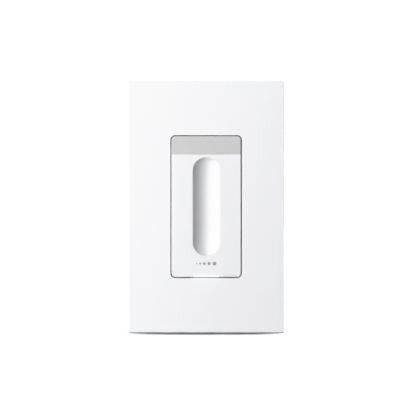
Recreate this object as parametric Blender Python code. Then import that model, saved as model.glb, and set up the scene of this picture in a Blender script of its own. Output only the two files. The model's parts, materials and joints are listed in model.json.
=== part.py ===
"""A single-gang smart dimmer with a touch slide groove, behind a screwless wall plate.

Frame: +Z up, the front faces -Y, and the origin is the middle of the device in the wall's plane,
where the yoke and the wall plate seat. Every size below is in millimetres. The helper functions
build their meshes in millimetres, and add_part scales them to metres and sets each origin.
"""

import math

import bmesh
import bpy
from mathutils import Matrix, Vector

MM = 0.001
GAP = 0.3  # clearance kept between pieces that touch in the real device
OVERLAP = 0.4  # how far shapes reach into each other where they are joined
BEYOND = 1.0  # how far a cutter runs past the face that it opens

# Wall plate, a screwless shell that snaps on the sub plate
PLATE_WIDTH = 73.2
PLATE_HEIGHT = 118.5
PLATE_FRONT = -7.0
PLATE_FACE_WALL = 1.7
PLATE_SIDE_WALL = 1.5
PLATE_CORNER_RADIUS = 0.9
PLATE_EDGE_RADIUS = 0.4
OPENING_WIDTH = 33.6
OPENING_HEIGHT = 67.2
OPENING_RADIUS = 2.2
COLLAR_WALL = 1.2
COLLAR_BACK = -3.2
LUG_LENGTH = 6.0
LUG_REACH = 0.7
CHANNEL_DEPTH = 1.1

# Touch face: a panel with the finger groove, and the sensor window above it
FACE_GAP = 0.5
FACE_WIDTH = OPENING_WIDTH - 2 * FACE_GAP
FACE_HEIGHT = OPENING_HEIGHT - 2 * FACE_GAP
FACE_RADIUS = OPENING_RADIUS - FACE_GAP
FACE_FRONT = PLATE_FRONT - 0.4
FACE_BACK = -3.7
FACE_WALL = 1.6
SKIRT_WALL = 1.2
FACE_EDGE_RADIUS = 0.3
WINDOW_SPLIT = 24.65  # height of the seam between the panel and the window
WINDOW_WALL = 1.4
GROOVE_LENGTH = 46.4
GROOVE_WIDTH = 12.5
GROOVE_DEPTH = 5.2
GROOVE_WALL = 1.4

# Bottom edge of the face: the light pipe and the air gap tab
BAR_HEIGHT = 0.9
PIPE_WIDTH = 12.4
TAB_LEFT, TAB_RIGHT = 9.0, 14.0
ROD_LEFT, ROD_RIGHT = 10.2, 12.8

# Metal strap (yoke) that seats on the wall, and the tub of the front frame inside it
YOKE_FRONT = -1.5
YOKE_WIDTH = 44.8
YOKE_BODY_HEIGHT = 76.0
YOKE_HEIGHT = 106.4
YOKE_TAB_WALL = 1.1
BOX_SCREW_SPACING = 83.3
PLATE_SCREW_SPACING = 96.8
TUB_WIDTH = 28.8
TUB_HEIGHT = 64.0
TUB_WALL = 1.0
TUB_BACK = 2.6
BUTTON_X, BUTTON_Z = 18.0, 20.0

# Back case
CASE_WIDTH = 42.0
CASE_HEIGHT = 71.0
CASE_BACK = 33.0
CASE_WALL = 1.6
CASE_SCREW_X, CASE_SCREW_Z = 17.6, 31.2

# Boards, from their front face to their back face
CONTROL_BOARD = (3.2, 4.4)
POWER_BOARD = (12.0, 13.6)

# Side terminals: a pocket in the case with a brass plate, a clamp plate and a screw
TERMINAL_Z = 15.5
TERMINAL_Y = 22.0
POCKET_FLOOR = 14.9
POCKET_LENGTH = 11.0
POCKET_DEPTH_Y = 12.0
GROUND_X, GROUND_Y = -15.5, 4.8
GROUND_TAB = (-41.2, -40.0)

# Air gap lever, which turns about a pin parallel to Z
LEVER_PIVOT = (4.0, 8.6)
LEVER_ARM = 7.5
CONTACT_ARM = 8.5
LEVER_LOW, LEVER_HIGH = -28.7, -26.7
SLIDER_TOP = LEVER_LOW - GAP

COLOURS = {
    "white_plastic": ((0.86, 0.86, 0.87), 0.45, 0.0),
    "grey_window": ((0.60, 0.60, 0.60), 0.40, 0.0),
    "clear_plastic": ((0.90, 0.92, 0.97), 0.20, 0.0),
    "black_plastic": ((0.03, 0.03, 0.035), 0.50, 0.0),
    "aluminium": ((0.75, 0.76, 0.78), 0.35, 1.0),
    "steel": ((0.60, 0.61, 0.63), 0.30, 1.0),
    "brass": ((0.78, 0.62, 0.30), 0.30, 1.0),
    "copper": ((0.80, 0.45, 0.30), 0.30, 1.0),
    "green_screw": ((0.10, 0.45, 0.20), 0.35, 0.6),
    "circuit_board": ((0.02, 0.20, 0.09), 0.50, 0.0),
    "dark_component": ((0.04, 0.04, 0.05), 0.45, 0.0),
    "yellow_component": ((0.80, 0.65, 0.12), 0.45, 0.0),
    "ferrite": ((0.10, 0.12, 0.12), 0.60, 0.0),
    "fibre_washer": ((0.75, 0.68, 0.52), 0.80, 0.0),
    "label": ((0.72, 0.73, 0.74), 0.50, 0.0),
    "glass": ((0.75, 0.80, 0.82), 0.10, 0.0),
}


# Outlines, as lists of (a, b) points that run anticlockwise


def rectangle(left, right, low, high):
    return [(right, high), (left, high), (left, low), (right, low)]


def rounded(left, right, low, high, radius, steps=4):
    """A rectangle with each corner an arc of the same radius."""
    points = []
    middles = [
        (right - radius, high - radius),
        (left + radius, high - radius),
        (left + radius, low + radius),
        (right - radius, low + radius),
    ]
    for corner, (a, b) in enumerate(middles):
        for step in range(steps + 1):
            angle = math.pi / 2 * (corner + step / steps)
            points.append((a + radius * math.cos(angle), b + radius * math.sin(angle)))
    return points


def centred(width, height, radius, steps=4):
    return rounded(-width / 2, width / 2, -height / 2, height / 2, radius, steps)


def circle(radius, centre=(0.0, 0.0), sides=20):
    turns = [math.tau * side / sides for side in range(sides)]
    return [(centre[0] + radius * math.cos(t), centre[1] + radius * math.sin(t)) for t in turns]


def mirrored(points):
    """The outline of a shape from its right half, listed from the bottom up."""
    return points + [(-a, b) for a, b in reversed(points)]


# Solids, as helper objects in millimetres


def place(axis, a, b, level):
    """The point with outline coordinates a and b at this level of an axis."""
    if axis == "X":
        return (level, a, b)
    if axis == "Y":
        return (a, level, b)
    return (a, b, level)


def object_from(mesh_builder):
    mesh = bpy.data.meshes.new("shape")
    bmesh.ops.recalc_face_normals(mesh_builder, faces=mesh_builder.faces)
    mesh_builder.to_mesh(mesh)
    mesh_builder.free()
    shape = bpy.data.objects.new("shape", mesh)
    bpy.context.scene.collection.objects.link(shape)
    return shape


def prism(outlines, axis, low, high):
    """The first outline, less the others as holes, from one level of an axis to another."""
    builder = bmesh.new()
    levels = []
    for level in (low, high):
        loops = [[builder.verts.new(place(axis, a, b, level)) for a, b in o] for o in outlines]
        levels.append(loops)
        if len(loops) == 1:
            builder.faces.new(loops[0])
        else:
            edges = [builder.edges.new((v, w)) for loop in loops for v, w in zip(loop, loop[1:] + loop[:1])]
            bmesh.ops.triangle_fill(builder, edges=edges, use_beauty=True)
    for first, second in zip(*levels):
        for here in range(len(first)):
            there = (here + 1) % len(first)
            builder.faces.new((first[here], first[there], second[there], second[here]))
    return object_from(builder)


def box(x, y, z):
    return prism([rectangle(*x, *z)], "Y", *y)


def stack(sections, axis="Y"):
    """A solid through (outline, level) sections that have the same number of points."""
    builder = bmesh.new()
    rings = [[builder.verts.new(place(axis, a, b, t)) for a, b in o] for o, t in sections]
    builder.faces.new(rings[0])
    builder.faces.new(rings[-1])
    for first, second in zip(rings, rings[1:]):
        for here in range(len(first)):
            there = (here + 1) % len(first)
            builder.faces.new((first[here], first[there], second[there], second[here]))
    return object_from(builder)


def turned(profile, axis, centre=(0.0, 0.0), sides=20):
    """A profile of (radius, level) points turned round an axis. It starts and ends on the axis."""
    builder = bmesh.new()
    rings = []
    for radius, level in profile:
        if radius == 0:
            rings.append([builder.verts.new(place(axis, *centre, level))] * sides)
        else:
            points = circle(radius, centre, sides)
            rings.append([builder.verts.new(place(axis, a, b, level)) for a, b in points])
    for first, second in zip(rings, rings[1:]):
        for here in range(sides):
            there = (here + 1) % sides
            corners = (first[here], first[there], second[there], second[here])
            builder.faces.new(list(dict.fromkeys(corners)))
    return object_from(builder)


def drum(radius, low, high, axis, centre=(0.0, 0.0), sides=20):
    return turned([(0, low), (radius, low), (radius, high), (0, high)], axis, centre, sides)


def combine(target, operation, tools):
    for tool in tools:
        modifier = target.modifiers.new(operation, "BOOLEAN")
        modifier.operation = operation
        modifier.solver = "EXACT"
        modifier.object = tool
    graph = bpy.context.evaluated_depsgraph_get()
    made = bpy.data.meshes.new_from_object(target.evaluated_get(graph))
    target.modifiers.clear()
    target.data = made
    for tool in tools:
        bpy.data.objects.remove(tool)
    return target


def cut(target, *tools):
    return combine(target, "DIFFERENCE", tools)


def join(target, *tools):
    return combine(target, "UNION", tools)


def keep_inside(target, tool):
    return combine(target, "INTERSECT", [tool])


# Named parts


def material_named(name):
    found = bpy.data.materials.get(name)
    if found:
        return found
    colour, roughness, metallic = COLOURS[name]
    made = bpy.data.materials.new(name)
    made.use_nodes = True
    shader = made.node_tree.nodes["Principled BSDF"]
    shader.inputs["Base Color"].default_value = (*colour, 1.0)
    shader.inputs["Roughness"].default_value = roughness
    shader.inputs["Metallic"].default_value = metallic
    return made


def group(name, position=(0.0, 0.0, 0.0), parent=None):
    """An empty that holds the pieces of one moving body, at a point of its joint's axis."""
    empty = bpy.data.objects.new(name, None)
    empty.location = Vector(position) * MM
    if parent:
        empty.parent = parent
        empty.location -= parent.location
    bpy.context.scene.collection.objects.link(empty)
    return empty


def add_part(name, shape, material, parent=None):
    """Names a shape that was built in place, scales it to metres and hangs it on its empty."""
    origin = Vector((0.0, 0.0, 0.0))
    above = parent
    while above:
        origin += above.location
        above = above.parent
    shape.name = name
    shape.data.name = name
    shape.data.transform(Matrix.Translation(-origin) @ Matrix.Scale(MM, 4))
    shape.data.materials.clear()
    shape.data.materials.append(material_named(material))
    shape.data.shade_smooth()
    shape.data.set_sharp_from_angle(angle=math.radians(35))
    if parent:
        shape.parent = parent
    return shape


# Wall plate and sub plate


def lug_places():
    """(x, z, runs along z) of the snap lugs, round the inside of the wall plate."""
    side = PLATE_WIDTH / 2 - PLATE_SIDE_WALL
    end = PLATE_HEIGHT / 2 - PLATE_SIDE_WALL
    sides = [(sign * side, z, True) for sign in (-1, 1) for z in (-38.0, 38.0)]
    return sides + [(0.0, sign * end, False) for sign in (-1, 1)]


def lug_block(x, z, upright, half_length, reach, front, back):
    """A block of this reach inwards from the wall plate's inner face."""
    if upright:
        inner, outer = sorted((x - math.copysign(reach, x), x + math.copysign(OVERLAP, x)))
        return box((inner, outer), (front, back), (z - half_length, z + half_length))
    low, high = sorted((z - math.copysign(reach, z), z + math.copysign(OVERLAP, z)))
    return box((x - half_length, x + half_length), (front, back), (low, high))


def make_wall_plate():
    edge = PLATE_EDGE_RADIUS

    def outer(inset):
        radius = PLATE_CORNER_RADIUS - inset * 0.5
        return centred(PLATE_WIDTH - 2 * inset, PLATE_HEIGHT - 2 * inset, radius)

    turns = [math.radians(angle) for angle in (0, 30, 60, 90)]
    sections = [(outer(edge * (1 - math.sin(t))), PLATE_FRONT + edge * (1 - math.cos(t))) for t in turns]
    shell = stack([*sections, (outer(0.0), 0.0)])
    cavity_front = PLATE_FRONT + PLATE_FACE_WALL
    inner_width = PLATE_WIDTH - 2 * PLATE_SIDE_WALL
    inner_height = PLATE_HEIGHT - 2 * PLATE_SIDE_WALL
    cavity = centred(inner_width, inner_height, 0.6)
    collar = centred(
        OPENING_WIDTH + 2 * COLLAR_WALL, OPENING_HEIGHT + 2 * COLLAR_WALL, OPENING_RADIUS + COLLAR_WALL
    )
    opening = centred(OPENING_WIDTH, OPENING_HEIGHT, OPENING_RADIUS)
    cut(shell, prism([cavity, collar], "Y", cavity_front, COLLAR_BACK + 0.2))
    cut(shell, prism([cavity], "Y", COLLAR_BACK, BEYOND))
    cut(shell, prism([opening], "Y", PLATE_FRONT - BEYOND, BEYOND))
    pry_slot = box((-4.0, 4.0), (-1.2, BEYOND), (-PLATE_HEIGHT / 2 - BEYOND, -PLATE_HEIGHT / 2 + 2.0))
    cut(shell, pry_slot)
    lugs = [lug_block(*where, LUG_LENGTH / 2, LUG_REACH, -1.6, -0.6) for where in lug_places()]
    join(shell, *lugs)
    return add_part("wall_plate", shell, "white_plastic", group("wall_plate_body"))


def make_sub_plate():
    width = PLATE_WIDTH - 2 * PLATE_SIDE_WALL - 0.8
    height = PLATE_HEIGHT - 2 * PLATE_SIDE_WALL - 0.8
    front, web_back, skirt = -4.9, -3.5, 1.4
    outline = centred(width, height, 1.2)
    narrow = centred(width - 0.8, height - 0.8, 0.8)
    tray = stack([(narrow, front), (outline, front + 0.4), (outline, -GAP)])
    cut(tray, prism([centred(width - 2 * skirt, height - 2 * skirt, 0.8)], "Y", web_back, BEYOND))
    bosses = [drum(3.1, web_back - OVERLAP, YOKE_FRONT - GAP, "Y", (0, z)) for z in plate_screw_heights()]
    join(tray, *bosses)
    cut(tray, prism([centred(40.4, 73.2, 2.5)], "Y", front - BEYOND, BEYOND))
    for z in plate_screw_heights():
        sink = [(0, -6.0), (4.0, -6.0), (4.0, front), (1.9, -2.85), (1.9, 0), (0, 0)]
        cut(tray, turned(sink, "Y", (0, z)))
    for where in lug_places():
        cut(tray, lug_block(*where, LUG_LENGTH / 2 + 0.6, CHANNEL_DEPTH, front - BEYOND, BEYOND))
    return add_part("sub_plate", tray, "white_plastic")


def plate_screw_heights():
    return (PLATE_SCREW_SPACING / 2, -PLATE_SCREW_SPACING / 2)


def box_screw_heights():
    return (BOX_SCREW_SPACING / 2, -BOX_SCREW_SPACING / 2)


def make_plate_screws():
    for name, z in zip(("top", "bottom"), plate_screw_heights()):
        profile = [(0, -4.8), (3.4, -4.8), (1.6, -3.0), (1.6, 5.2), (1.0, 6.0), (0, 6.0)]
        screw = turned(profile, "Y", (0, z), 16)
        cut(screw, box((-4.0, 4.0), (-6.0, -4.0), (z - 0.45, z + 0.45)))
        add_part(f"plate_screw_{name}", screw, "white_plastic")


# Face


def face_block(wall):
    """The whole face as one hollow cap with this front wall."""

    def outer(inset):
        return centred(FACE_WIDTH - 2 * inset, FACE_HEIGHT - 2 * inset, FACE_RADIUS - inset, 5)

    edge = FACE_EDGE_RADIUS
    turns = [math.radians(angle) for angle in (0, 45, 90)]
    sections = [(outer(edge * (1 - math.sin(t))), FACE_FRONT + edge * (1 - math.cos(t))) for t in turns]
    cap = stack([*sections, (outer(0.0), FACE_BACK)])
    inner = centred(FACE_WIDTH - 2 * SKIRT_WALL, FACE_HEIGHT - 2 * SKIRT_WALL, FACE_RADIUS - SKIRT_WALL)
    return cut(cap, prism([inner], "Y", FACE_FRONT + wall, FACE_BACK + BEYOND))


def groove_radius():
    half = GROOVE_WIDTH / 2
    return (half**2 + GROOVE_DEPTH**2) / (2 * GROOVE_DEPTH)


def groove_tool(radius, sides=40, steps=7):
    """A capsule along Z whose deepest line is the floor of the finger groove."""
    middle = FACE_FRONT - groove_radius() + GROOVE_DEPTH
    half = GROOVE_LENGTH / 2 - GROOVE_WIDTH / 2
    angles = [math.pi / 2 * step / steps for step in range(steps + 1)]
    low_end = [(radius * math.sin(a), -half - radius * math.cos(a)) for a in angles]
    profile = low_end + [(r, -z) for r, z in reversed(low_end)]
    profile[0], profile[-1] = (0, profile[0][1]), (0, profile[-1][1])
    return turned(profile, "Z", (0, middle), sides)


def make_face_panel():
    panel = face_block(FACE_WALL)
    half_width, half_height = FACE_WIDTH / 2, FACE_HEIGHT / 2
    bulge = groove_tool(groove_radius() + GROOVE_WALL)
    keep_inside(bulge, box((-12.0, 12.0), (FACE_FRONT + 0.6, 0.0), (-30.0, 30.0)))
    join(panel, bulge)
    cut(panel, groove_tool(groove_radius()))
    top = WINDOW_SPLIT - GAP / 2
    wide = (-half_width - BEYOND, half_width + BEYOND)
    cut(panel, box(wide, (FACE_FRONT - BEYOND, 0.0), (top, half_height + BEYOND)))
    cut(panel, box(wide, (FACE_FRONT + 0.7, 0.0), (top - 0.65, top + BEYOND)))
    for left, right in ((-PIPE_WIDTH / 2, PIPE_WIDTH / 2), (TAB_LEFT, TAB_RIGHT)):
        low, high = -half_height - BEYOND, -half_height + BAR_HEIGHT + GAP
        cut(panel, box((left - GAP, right + GAP), (FACE_FRONT - BEYOND, 0.0), (low, high)))
    return add_part("face_panel", panel, "white_plastic")


def make_sensor_window():
    window = face_block(WINDOW_WALL)
    half_width, half_height = FACE_WIDTH / 2, FACE_HEIGHT / 2
    low = WINDOW_SPLIT + GAP / 2
    wide = (-half_width - BEYOND, half_width + BEYOND)
    cut(window, box(wide, (FACE_FRONT - BEYOND, 0.0), (-half_height - BEYOND, low)))
    lip = box((-14.6, 14.6), (FACE_FRONT + 1.0, FACE_FRONT + 1.9), (low - 0.65, low + 0.8))
    join(window, lip)
    return add_part("sensor_window", window, "grey_window")


def make_light_pipe():
    bottom = -FACE_HEIGHT / 2
    bar_top = bottom + BAR_HEIGHT
    inside = TUB_WALL + 0.4 - TUB_HEIGHT / 2
    outline = [
        (FACE_FRONT, bottom),
        (FACE_BACK - GAP, bottom),
        (FACE_BACK - GAP, bottom + 1.6),
        (FACE_BACK, inside),
        (0.9, inside),
        (0.9, inside + 2.7),
        (FACE_FRONT + 3.0, inside + 2.7),
        (FACE_FRONT + 2.0, inside + 1.7),
        (FACE_FRONT + 2.0, bar_top),
        (FACE_FRONT, bar_top),
    ]
    pipe = prism([outline], "X", -PIPE_WIDTH / 2, PIPE_WIDTH / 2)
    return add_part("light_pipe", pipe, "clear_plastic")


# Front frame and the electronics behind the face


def make_front_frame():
    deck = centred(32.4, 65.8, 2.0)
    tub = centred(TUB_WIDTH, TUB_HEIGHT, 1.5)
    deck_front, deck_back = FACE_BACK + GAP, YOKE_FRONT - GAP
    frame = prism([deck], "Y", deck_front, deck_back)
    join(frame, prism([tub], "Y", deck_back - OVERLAP, TUB_BACK))
    inside = centred(TUB_WIDTH - 2 * TUB_WALL, TUB_HEIGHT - 2 * TUB_WALL, 0.6)
    cut(frame, prism([inside], "Y", deck_front - BEYOND, TUB_BACK + BEYOND))
    cut(frame, box((ROD_LEFT - GAP, ROD_RIGHT + GAP), (-5.0, 0.0), (-35.0, -TUB_HEIGHT / 2)))
    barbs = []
    for sign in (-1, 1):
        for z in (-16.0, 14.0):
            edge = sign * TUB_WIDTH / 2
            x = tuple(sorted((edge - sign * OVERLAP, edge + sign * 1.2)))
            barbs.append(box(x, (GAP, 1.2), (z - 2.5, z + 2.5)))
    join(frame, *barbs)
    return add_part("front_frame", frame, "black_plastic")


def make_touch_electrode():
    """A curved electrode strip that follows the back of the groove."""
    inner = groove_radius() + GROOVE_WALL + GAP
    middle = FACE_FRONT - groove_radius() + GROOVE_DEPTH
    angles = [math.radians(-50 + 100 * step / 12) for step in range(13)]
    near = [(inner * math.sin(a), middle + inner * math.cos(a)) for a in angles]
    far = [((inner + 0.35) * math.sin(a), middle + (inner + 0.35) * math.cos(a)) for a in reversed(angles)]
    add_part("touch_electrode", prism([near + far], "Z", -16.0, 16.0), "copper")


def board_outline(half_height):
    """A board with corners cut for the case posts and sides cut for the heat sinks."""
    side, waist, neck = 18.9, 17.3, 14.3
    right = [
        (neck, -half_height),
        (neck, -27.3),
        (side, -27.3),
        (side, -7.0),
        (waist, -7.0),
        (waist, 7.0),
        (side, 7.0),
        (side, 27.3),
        (neck, 27.3),
        (neck, half_height),
    ]
    return mirrored(right)


def make_control_board():
    board = prism([board_outline(31.0)], "Y", *CONTROL_BOARD)
    cut(board, box((8.0, 20.0), (0.0, 8.0), (-33.0, LEVER_HIGH + 0.6)))
    add_part("control_board", board, "circuit_board")
    front = CONTROL_BOARD[0] - GAP
    can = [(0, -4.6), (3.0, -4.6), (3.3, -4.3), (3.3, 2.1), (3.6, 2.1), (3.6, front), (0, front)]
    add_part("motion_sensor", turned(can, "Y", (0, 26.9)), "steel")
    add_part("light_sensor", box((8.8, 11.2), (1.5, front), (25.8, 28.2)), "dark_component")
    add_part("status_led", box((-2.5, 2.5), (1.2, front), (-30.3, -28.2)), "clear_plastic")
    shield = stack(
        [
            (centred(15.4, 23.4, 0.6, 2), 0.5),
            (centred(16.0, 24.0, 0.8, 2), 0.8),
            (centred(16.0, 24.0, 0.8, 2), front),
        ]
    )
    add_part("wireless_module", shield, "steel")
    connector = box((-10.0, 10.0), (CONTROL_BOARD[1] + GAP, POWER_BOARD[0] - GAP), (16.0, 20.0))
    add_part("board_connector", connector, "dark_component")


def make_setup_button():
    """A small sprung button beside the face, which the wall plate covers."""
    x, z = BUTTON_X, BUTTON_Z
    parent = group("setup_button_body", (x, 0.0, z))
    stem = turned([(0, -2.5), (1.0, -2.5), (1.2, -2.3), (1.2, 0.8), (0, 0.8)], "Y", (x, z), 16)
    join(stem, box((x - 1.8, x + 1.1), (GAP, 1.1), (z - 2.2, z + 2.2)))
    add_part("setup_button", stem, "white_plastic", parent)
    front = CONTROL_BOARD[0] - GAP
    switch = box((x - 1.7, x + 0.9), (2.1, front), (z - 1.7, z + 1.7))
    join(switch, drum(0.8, 1.9, 2.4, "Y", (x - 0.3, z), 12))
    add_part("setup_switch", switch, "dark_component")


# Power section


def make_power_board():
    board = prism([board_outline(32.0)], "Y", *POWER_BOARD)
    cut(board, box((-20.0, 20.0), (8.0, 16.0), (-34.0, -23.0)))
    add_part("power_board", board, "circuit_board")
    back = POWER_BOARD[1] + GAP
    make_choke(back)
    tin = [(0, back), (4.6, back), (5.0, back + 0.6), (5.0, 29.0), (4.6, 29.6), (0, 29.6)]
    add_part("electrolytic_capacitor", turned(tin, "Y", (-7.0, -15.2)), "dark_component")
    film = stack(
        [
            (rounded(0.6, 13.2, -20.6, -10.2, 0.8, 2), back),
            (rounded(0.6, 13.2, -20.6, -10.2, 0.8, 2), 25.0),
        ]
    )
    add_part("film_capacitor", film, "yellow_component")
    core = box((-7.0, 7.0), (back, 26.0), (-3.0, 3.0))
    join(core, box((-5.5, 5.5), (back + 1.2, 24.8), (-6.4, 5.4)))
    add_part("transformer", core, "yellow_component")
    fuse = turned([(0, -6.0), (1.8, -6.0), (1.8, 6.0), (0, 6.0)], "X", (16.2, 29.2), 16)
    add_part("fuse", fuse, "glass")


def make_choke(back):
    """A toroid with its windings as ribs."""
    middle_y, middle_z = back + 4.6, 17.0
    major, minor, ribs, sides = 6.9, 2.6, 18, 10
    builder = bmesh.new()
    rings = []
    for turn in range(2 * ribs):
        angle = math.tau * turn / (2 * ribs)
        radius = minor + (0.35 if turn % 2 else 0.0)
        ring = []
        for side in range(sides):
            around = math.tau * side / sides
            out = major + radius * math.cos(around)
            y = middle_y + radius * 1.5 * math.sin(around)
            ring.append(builder.verts.new((out * math.cos(angle), y, middle_z + out * math.sin(angle))))
        rings.append(ring)
    for first, second in zip(rings, rings[1:] + rings[:1]):
        for here in range(sides):
            there = (here + 1) % sides
            builder.faces.new((first[here], first[there], second[there], second[here]))
    add_part("choke", object_from(builder), "copper")


def make_heat_path():
    """On each side an L-shaped aluminium sink from the yoke, and the power transistor on it."""
    half = 6.5
    for sign, name in ((-1, "left"), (1, "right")):

        def span(near, far):
            return tuple(sorted((sign * near, sign * far)))

        sink = box(span(17.8, 19.1), (GAP, 25.0), (-half, half))
        join(sink, box(span(15.2, 18.4), (GAP, 1.6), (-half, half)))
        add_part(f"heat_sink_{name}", sink, "aluminium")
        body = box(span(13.1, 17.5), (16.2, 25.4), (-5.1, 5.1))
        join(body, box(span(16.2, 17.5), (25.0, 29.2), (-5.1, 5.1)))
        leg_y = (POWER_BOARD[1] + GAP, 16.6)
        join(body, *[box(span(14.4, 15.2), leg_y, (z - 0.4, z + 0.4)) for z in (-2.54, 0, 2.54)])
        add_part(f"mosfet_{name}", body, "dark_component")


# Air gap switch: the pull tab turns a lever that parts two contacts


def make_air_gap_slider():
    """The pull tab in the face's bottom edge, its rod and the block with the lever's slot."""
    pin_x, pin_y = LEVER_PIVOT[0] + LEVER_ARM, LEVER_PIVOT[1]
    bottom = -FACE_HEIGHT / 2
    top = bottom + BAR_HEIGHT
    slider = box((TAB_LEFT, TAB_RIGHT), (FACE_FRONT, FACE_FRONT + 1.3), (bottom, top))
    nail_x, nail_y = (TAB_LEFT + 0.7, TAB_RIGHT - 0.7), (FACE_FRONT + 0.4, FACE_FRONT + 0.9)
    cut(slider, box(nail_x, nail_y, (bottom - BEYOND, bottom + 0.35)))
    rod = box((ROD_LEFT, ROD_RIGHT), (FACE_FRONT + 1.0, 6.4), (bottom, -TUB_HEIGHT / 2 - GAP))
    block = box((pin_x - 2.8, pin_x + 2.1), (pin_y - 2.6, pin_y + 2.6), (bottom, SLIDER_TOP))
    join(slider, rod, block)
    slot = box((pin_x - 2.0, pin_x + 1.3), (pin_y - 1.3, pin_y + 1.3), (bottom + 0.8, SLIDER_TOP + BEYOND))
    cut(slider, slot)
    add_part("air_gap_slider", slider, "white_plastic", group("air_gap_slider_body", (pin_x, 0.0, bottom)))


def make_contact_lever():
    pivot_x, pivot_y = LEVER_PIVOT
    pin_x, contact_x = pivot_x + LEVER_ARM, pivot_x - CONTACT_ARM
    turning = group("contact_lever_body", (pivot_x, pivot_y, LEVER_LOW))
    arm = rounded(contact_x - 1.7, pin_x + 1.5, pivot_y - 1.8, pivot_y + 1.8, 1.7, 4)
    lever = prism([arm], "Z", LEVER_LOW, LEVER_HIGH)
    join(lever, drum(2.8, LEVER_LOW, LEVER_HIGH, "Z", LEVER_PIVOT))
    join(lever, drum(1.0, -32.0, LEVER_LOW + OVERLAP, "Z", (pin_x, pivot_y), 16))
    cut(lever, drum(1.3, LEVER_LOW - BEYOND, LEVER_HIGH + BEYOND, "Z", LEVER_PIVOT))
    add_part("contact_lever", lever, "black_plastic", turning)
    contact_z = (LEVER_LOW + LEVER_HIGH) / 2
    button = drum(1.3, pivot_y - 2.7, pivot_y - 2.1, "Y", (contact_x, contact_z), 16)
    add_part("moving_contact", button, "copper", turning)

    low = low_z_of_case() + GAP
    under, top = LEVER_HIGH + GAP, LEVER_HIGH + 1.1
    profile = [(0, low), (1.0, low), (1.0, under), (1.8, under), (1.8, top), (0, top)]
    pin = turned(profile, "Z", LEVER_PIVOT, 16)
    add_part("lever_pin", pin, "steel")
    strip = box((contact_x - 1.5, contact_x + 1.5), (4.8, 5.3), (low, LEVER_HIGH + 1.0))
    join(strip, drum(1.3, 5.1, 5.6, "Y", (contact_x, contact_z), 16))
    add_part("fixed_contact", strip, "brass")


# Yoke and its screws


def case_screw_places():
    return [(x, z) for x in (-CASE_SCREW_X, CASE_SCREW_X) for z in (-CASE_SCREW_Z, CASE_SCREW_Z)]


def make_yoke():
    half_width, half_body, half_height = YOKE_WIDTH / 2, YOKE_BODY_HEIGHT / 2, YOKE_HEIGHT / 2
    neck, ear, ear_low = 9.5, 15.5, 45.6
    lower_right = [
        (ear - 3.0, -half_height),
        (ear - 0.9, -half_height + 0.9),
        (ear, -half_height + 3.0),
        (ear, -ear_low),
        (neck, -ear_low + 1.2),
        (neck, -half_body - 1.5),
        (neck + 1.5, -half_body),
        (half_width - 2.0, -half_body),
        (half_width, -half_body + 2.0),
    ]
    right = lower_right + [(a, -b) for a, b in reversed(lower_right)]
    holes = [centred(TUB_WIDTH + 2 * GAP, TUB_HEIGHT + 2 * GAP, 1.6)]
    holes += [rounded(-4.0, 4.0, z - 2.0, z + 2.0, 1.95, 5) for z in box_screw_heights()]
    holes += [circle(1.95, (0, z), 16) for z in plate_screw_heights()]
    holes += [circle(1.6, post, 12) for post in case_screw_places()]
    holes.append(circle(1.6, (BUTTON_X, BUTTON_Z), 12))
    holes += [circle(1.2, (sx * 12.2, sz * 49.4), 10) for sx in (-1, 1) for sz in (-1, 1)]
    yoke = prism([mirrored(right), *holes], "Y", YOKE_FRONT, 0.0)
    cut(yoke, box((ROD_LEFT - GAP, ROD_RIGHT + GAP), (-3.0, 2.0), (-33.5, -31.0)))
    for sign in (-1, 1):
        x = tuple(sorted((sign * half_width, sign * (half_width - YOKE_TAB_WALL))))
        for z in (-24.0, 24.0):
            outline = rounded(YOKE_FRONT + 0.1, 9.0, z - 4.0, z + 4.0, 0.3, 1)
            join(yoke, prism([outline, circle(1.6, (5.0, z), 12)], "X", *x))
    join(yoke, box((-20.0, -11.0), (YOKE_FRONT, 0.0), (GROUND_TAB[0], -half_body + OVERLAP)))
    outline = rounded(-20.0, -11.0, YOKE_FRONT + 0.1, 9.5, 0.3, 1)
    join(yoke, prism([outline, circle(2.2, (GROUND_X, GROUND_Y), 14)], "Z", *GROUND_TAB))
    return add_part("yoke", yoke, "aluminium")


def make_box_screws():
    """The two captive screws that fasten the yoke to the wall box, with their fibre washers."""
    for name, z in zip(("top", "bottom"), box_screw_heights()):
        head = [(0, -3.2), (2.6, -3.2), (3.3, -2.6), (3.3, -1.8), (1.6, -1.8)]
        screw = turned([*head, (1.6, 21.2), (0.9, 22.2), (0, 22.2)], "Y", (0, z), 16)
        cut(screw, box((-4.0, 4.0), (-5.0, -2.5), (z - 0.5, z + 0.5)))
        add_part(f"mounting_screw_{name}", screw, "steel")
        square = rounded(-4.8, 4.8, z - 4.8, z + 4.8, 1.0, 2)
        washer = prism([square, circle(1.9, (0, z), 16)], "Y", GAP, 1.1)
        add_part(f"retainer_washer_{name}", washer, "fibre_washer")


# Back case, its screws and the label


def terminal_places():
    """(number, side, height) of the four side terminals."""
    corners = ((1, 1), (1, -1), (-1, 1), (-1, -1))
    return [(number, side, up * TERMINAL_Z) for number, (side, up) in enumerate(corners, 1)]


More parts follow.
